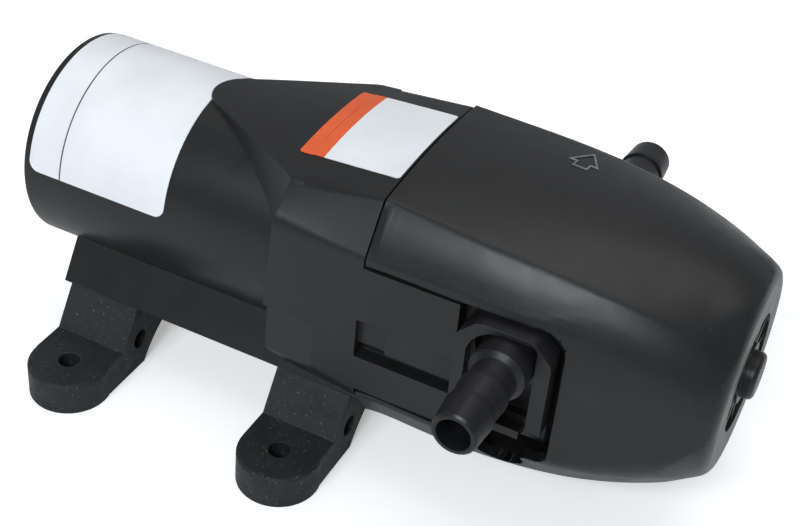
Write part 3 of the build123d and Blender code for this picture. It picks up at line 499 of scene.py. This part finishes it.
# Front cover: a copy of the moulding whose roof is domed down to a crest that sinks towards the
# nose. The first lines are the outline of the solid, in millimetres from the pump's axis, or
# shares. The crest lines say how far the crest sinks and how round it is, and the last lines how
# finely the mesh is cut and where the change fades out
coverShape = {
    "rear": 43.4, "front": 121.5, "halfWidth": 30.4, "roof": 30.0, "noseHalf": 19.8,
    "swellPower": 3.85, "swellRoot": 0.51, "fade": 3.2, "noseCutShare": 0.975,
    "noseFlatShare": 0.414, "crestShare": 0.75, "crownDrop": 1.4, "ledge": 16.8,
    "cornerRound": 1.5, "sideRound": 3.0, "noseRoundShare": 0.82, "crownShare": 0.75,
    "noseCrownShare": 0.2,
    "crestFall": 0.42, "crestNoseFall": 0.2, "crestNosePower": 4, "crestPush": 0.45,
    "crestRound": 3.5, "crestStart": 0.3, "softSide": 22.0, "softStart": 0.42, "softEnd": 0.68,
    "domeSteps": 14, "stations": 60, "mergeDistance": 0.001, "sliceStep": 2.0,
    "fanLow": 4.0, "fanStep": 2.5, "fineStep": 1.0, "fineLow": 36.0, "fineHigh": 54.0,
    "sideBlend": 16.0, "blendLength": 1.5, "noseBlend": 10.0, "skinNear": 0.8, "skinFar": 1.2,
    "smoothAngle": 28,
}


def ease(value, low, high):
    share = min(1, max(0, (value - low) / (high - low)))
    return share * share * (3 - 2 * share)


def blend(first, last, share):
    return first + (last - first) * share


def roundCorner(before, corner, after, radius, steps=10):
    firstWay = Vector(before) - Vector(corner)
    lastWay = Vector(after) - Vector(corner)
    firstLength, lastLength = firstWay.length, lastWay.length
    firstWay.normalize()
    lastWay.normalize()
    half = firstWay.angle(lastWay) / 2
    reach = min(radius / tan(half), firstLength, lastLength)
    radius = reach * tan(half)
    middle = Vector(corner) + (firstWay + lastWay).normalized() * radius / sin(half)
    first = Vector(corner) + firstWay * reach - middle
    last = Vector(corner) + lastWay * reach - middle
    start = atan2(first.y, first.x)
    turn = (atan2(last.y, last.x) - start + pi) % (2 * pi) - pi
    angles = [start + turn * index / steps for index in range(steps + 1)]
    return [(middle.x + radius * cos(angle), middle.y + radius * sin(angle)) for angle in angles]


# Half of the cover's section from the middle of the roof to the side, at a share of its length,
# as moulded or with the sinking crest
def coverOutline(shape, share, crested):
    swell = (1 - (shape["noseCutShare"] * share) ** shape["swellPower"]) ** shape["swellRoot"]
    square = swell ** shape["fade"]
    width = blend(shape["noseHalf"], shape["halfWidth"], swell)
    roof = blend(shape["noseHalf"], shape["roof"], swell)
    drop = shape["crownDrop"] * roof / shape["roof"]
    ledgeShare = shape["ledge"] / (shape["roof"] - shape["crownDrop"])
    highShare = blend(shape["noseFlatShare"], shape["crestShare"], square)
    lowShare = blend(shape["noseFlatShare"], ledgeShare, square)
    high = Vector((highShare * width, roof - drop))
    low = Vector((width, lowShare * roof))
    foot = (width, -low.y)
    noseRound = shape["noseRoundShare"] * shape["noseHalf"]
    corner = blend(noseRound, shape["cornerRound"], square)
    flank = blend(noseRound, shape["sideRound"], square)
    if crested:
        along = (low - high).normalized()
        start = min(1, share / shape["crestStart"])
        fall = shape["crestFall"] * share
        fall += shape["crestNoseFall"] * share ** shape["crestNosePower"]
        high += (low - high) * fall + Vector((-along.y, along.x)) * shape["crestPush"] * start
        softness = ease(share, shape["softStart"], shape["softEnd"])
        flank = blend(flank, max(shape["softSide"], flank), softness)
        corner = blend(shape["cornerRound"], shape["crestRound"], start)
        steps = [index / shape["domeSteps"] for index in range(shape["domeSteps"])]
        top = [(high.x * step, roof - (roof - high.y) * step * step) for step in steps]
    else:
        crownShare = blend(shape["noseCrownShare"], shape["crownShare"], square)
        crown = drop / (1 - crownShare / 2)
        peak = roof + crownShare / 2 * crown
        high.y = peak - crown
        radius = crownShare * high.x ** 2 / crown
        top = roundCorner((-high.x, high.y), (0, peak), high, radius)
        top = [point for point in top if point[0] >= 0]
    side = roundCorner(high, low, foot, flank) + [(width, 0)]
    return top + roundCorner(top[-1], high, low, corner) + side


tinyAngle = 1e-9  # keeps a double point of the outline from dividing by zero


# Distance of an outline from the axis at an angle above the side
def outlineReach(outline, angle):
    points = sorted((atan2(z, y), hypot(y, z)) for y, z in outline)
    for (firstAngle, firstReach), (lastAngle, lastReach) in zip(points, points[1:]):
        if angle <= lastAngle:
            part = (angle - firstAngle) / max(lastAngle - firstAngle, tinyAngle)
            return blend(firstReach, lastReach, max(0, part))
    return points[-1][1]


# One row for each station along the cover and one column for each degree
def reachTable(shape, crested):
    table = []
    for station in range(shape["stations"] + 1):
        outline = coverOutline(shape, station / shape["stations"], crested)
        table.append([outlineReach(outline, radians(degree)) for degree in range(quarterTurn + 1)])
    return table


def reachIn(table, station, degree):
    row, column = min(len(table) - 2, int(station)), min(quarterTurn - 1, int(degree))
    low = blend(table[row][column], table[row][column + 1], degree - column)
    high = blend(table[row + 1][column], table[row + 1][column + 1], degree - column)
    return blend(low, high, station - row)


# Slices along X, and a fan of planes through the axis that is finest round the crest
def cutCover(cover, shape):
    startEditing(cover)
    bpy.ops.mesh.remove_doubles(threshold=shape["mergeDistance"] * millimetre)
    place = shape["rear"] + shape["sliceStep"]
    while place < shape["front"] - shape["sliceStep"]:
        cutPlane((place * millimetre, 0, 0), (1, 0, 0))
        place += shape["sliceStep"]
    angle = shape["fanLow"]
    while angle < quarterTurn:
        across, along = sin(radians(angle)), cos(radians(angle))
        for side in (-1, 1):
            cutPlane((0, 0, axisHeight * millimetre), (0, -side * across, along))
        fine = shape["fineLow"] <= angle < shape["fineHigh"]
        angle += shape["fineStep"] if fine else shape["fanStep"]
    bpy.ops.object.mode_set(mode="OBJECT")


# Moves the skin onto the crested outline, and what lies deeper by the same share
def crestCover(cover, shape):
    mouldedTable, crestedTable = reachTable(shape, False), reachTable(shape, True)
    rear, front = shape["rear"], shape["front"]
    for vertex in cover.data.vertices:
        x = vertex.co.x / millimetre
        y = vertex.co.y / millimetre
        z = vertex.co.z / millimetre - axisHeight
        share = (x - rear) / (front - rear)
        if z <= 0 or not 0 < share < 1:
            continue
        degree = degrees(atan2(z, abs(y)))
        moulded = reachIn(mouldedTable, share * shape["stations"], degree)
        crested = reachIn(crestedTable, share * shape["stations"], degree)
        reach = hypot(y, z)
        depth = ease(abs(reach - moulded), shape["skinNear"], shape["skinFar"])
        fade = ease(x, rear, rear + shape["blendLength"])
        fade *= ease(degree, 0, shape["sideBlend"])
        fade *= 1 - ease(x, front - shape["noseBlend"], front)
        factor = blend(1, crested / blend(reach, moulded, depth), fade)
        vertex.co.y = y * factor * millimetre
        vertex.co.z = (z * factor + axisHeight) * millimetre


def makeCover(shape):
    cover = frame["nodes"]["front_cover"].copy()
    cover.data = cover.data.copy()
    bpy.context.scene.collection.objects.link(cover)
    cover.matrix_world = Matrix.Identity(4)
    cutCover(cover, shape)
    crestCover(cover, shape)
    finishPiece(cover, "coverShell", "pump", ["housing_black"])
    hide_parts("front_cover")
    smoothByAngle(cover, shape["smoothAngle"])
    applyModifier(cover, "WEIGHTED_NORMAL", keep_sharp=True)
    return cover


coverShell = makeCover(coverShape)
print("stage: cover")


# Labels start as a flat sheet with rounded corners
def makeSheet(values, width, height, tip):
    length = (values["front"] - values["rear"]) * millimetre
    middle = (values["front"] + values["rear"]) / 2 * millimetre
    bpy.ops.mesh.primitive_plane_add(size=1, location=(middle, 0, height),
                                     rotation=(radians(tip), 0, 0))
    sheet = bpy.context.active_object
    sheet.scale = (length, width, 1)
    applyTransform(sheet)
    startEditing(sheet)
    bpy.ops.mesh.bevel(offset=values["corner"] * millimetre, segments=values["cornerSteps"],
                       affect="VERTICES")
    bpy.ops.object.mode_set(mode="OBJECT")
    return sheet


# Gives a label its thickness, and the second material between two places along X
def finishLabel(label, name, values, materials, bandEdges):
    applyModifier(label, "SOLIDIFY", thickness=values["thickness"] * millimetre, offset=1.0)
    finishPiece(label, name, "pump", materials)
    for face in label.data.polygons:
        face.material_index = 1 if bandEdges[0] < face.center.x < bandEdges[1] else 0
    smoothByAngle(label, values["smoothAngle"])


# Bare rating label wrapped round the rear of the tube, with a thin rule across it
ratingLabel = {
    "rear": -48.6, "front": -11.0, "halfAngle": 82.3, "tubeRadius": 25.5, "lift": 0.03,
    "thickness": 0.15, "corner": 2.6, "cornerSteps": 6, "strips": 60,
    "rulePlace": -39.9, "ruleWidth": 0.35, "smoothAngle": 30,
}


def makeRatingLabel(values):
    radius = (values["tubeRadius"] + values["lift"]) * millimetre
    halfArc = radius * radians(values["halfAngle"])
    label = makeSheet(values, 2 * halfArc, 0, quarterTurn)
    ruleEdges = [(values["rulePlace"] + side * values["ruleWidth"] / 2) * millimetre
                 for side in (-1, 1)]
    cutAcross(label, 0, ruleEdges)
    cutAcross(label, 2, spread(-halfArc, halfArc, values["strips"]))
    applyModifier(label, "SIMPLE_DEFORM", deform_method="BEND", deform_axis="X",
                  angle=radians(2 * values["halfAngle"]))
    label.rotation_euler = (radians(-quarterTurn), 0, 0)
    label.location = (0, 0, axisHeight * millimetre + radius)
    applyTransform(label)
    finishLabel(label, "ratingLabel", values, ["labelWhite", "labelInk"], ruleEdges)


makeRatingLabel(ratingLabel)
print("stage: rating label")


# Bare roof label: white vinyl with an orange band along its rear edge
roofLabel = {
    "rear": 18.0, "front": 42.4, "halfWidth": 15.0, "band": 6.2, "lift": 0.1, "thickness": 0.15,
    "corner": 0.8, "cornerSteps": 4, "slices": 48, "smoothAngle": 30,
}


def drapeOn(piece, target, lift):
    applyModifier(piece, "SHRINKWRAP", target=target, wrap_method="PROJECT",
                  use_project_z=True, use_negative_direction=True, use_positive_direction=False,
                  offset=lift * millimetre)


def makeRoofLabel(values):
    half = values["halfWidth"] * millimetre
    label = makeSheet(values, 2 * half, dropHeight * millimetre, 0)
    rear, front = values["rear"] * millimetre, values["front"] * millimetre
    bandEdge = (values["rear"] + values["band"]) * millimetre
    cutAcross(label, 0, [bandEdge] + spread(rear, front, values["slices"]))
    cutAcross(label, 1, spread(-half, half, values["slices"]))
    drapeOn(label, frame["nodes"]["rear_housing"], values["lift"])
    finishLabel(label, "roofLabel", values, ["labelWhite", "labelOrange"], (0, bandEdge))


makeRoofLabel(roofLabel)
print("stage: roof label")


# Raised outlined arrow on the cover's roof, pointing the way the water goes
flowArrow = {
    "place": (73.9, 14.8), "length": 9.0, "headLength": 6.7, "headWidth": 7.2, "shaftWidth": 3.7,
    "turn": -3.0, "line": 0.5, "height": 0.27, "edge": 0.08, "edgeSteps": 2, "slices": 8,
}


def makeFlowArrow(values):
    half = values["length"] / 2
    neck = half - values["headLength"]
    shaft, head = values["shaftWidth"] / 2, values["headWidth"] / 2
    outline = [(shaft, -half), (shaft, neck), (head, neck), (0, half),
               (-head, neck), (-shaft, neck), (-shaft, -half)]
    turn = Matrix.Rotation(radians(values["turn"]), 2)
    points = [turn @ Vector(point) + Vector(values["place"]) for point in outline]
    corners = [(*(point * millimetre), dropHeight * millimetre) for point in points]
    mesh = bpy.data.meshes.new("flowArrow")
    mesh.from_pydata(corners, [], [list(range(len(corners)))])
    arrow = bpy.data.objects.new("flowArrow", mesh)
    bpy.context.scene.collection.objects.link(arrow)
    startEditing(arrow, "FACE")
    bpy.ops.mesh.inset(thickness=values["line"] * millimetre, use_select_inset=False)
    bpy.ops.mesh.delete(type="FACE")
    bpy.ops.object.mode_set(mode="OBJECT")
    low, high = (values["place"][0] - half) * millimetre, (values["place"][0] + half) * millimetre
    cutAcross(arrow, 0, spread(low, high, values["slices"]))
    drapeOn(arrow, coverShell, 0)
    applyModifier(arrow, "SOLIDIFY", thickness=values["height"] * millimetre, offset=1.0)
    applyModifier(arrow, "BEVEL", width=values["edge"] * millimetre,
                  segments=values["edgeSteps"], limit_method="ANGLE")
    finishPiece(arrow, "flowArrow", "pump", ["arrowGrey"])


makeFlowArrow(flowArrow)
print("stage: flow arrow")
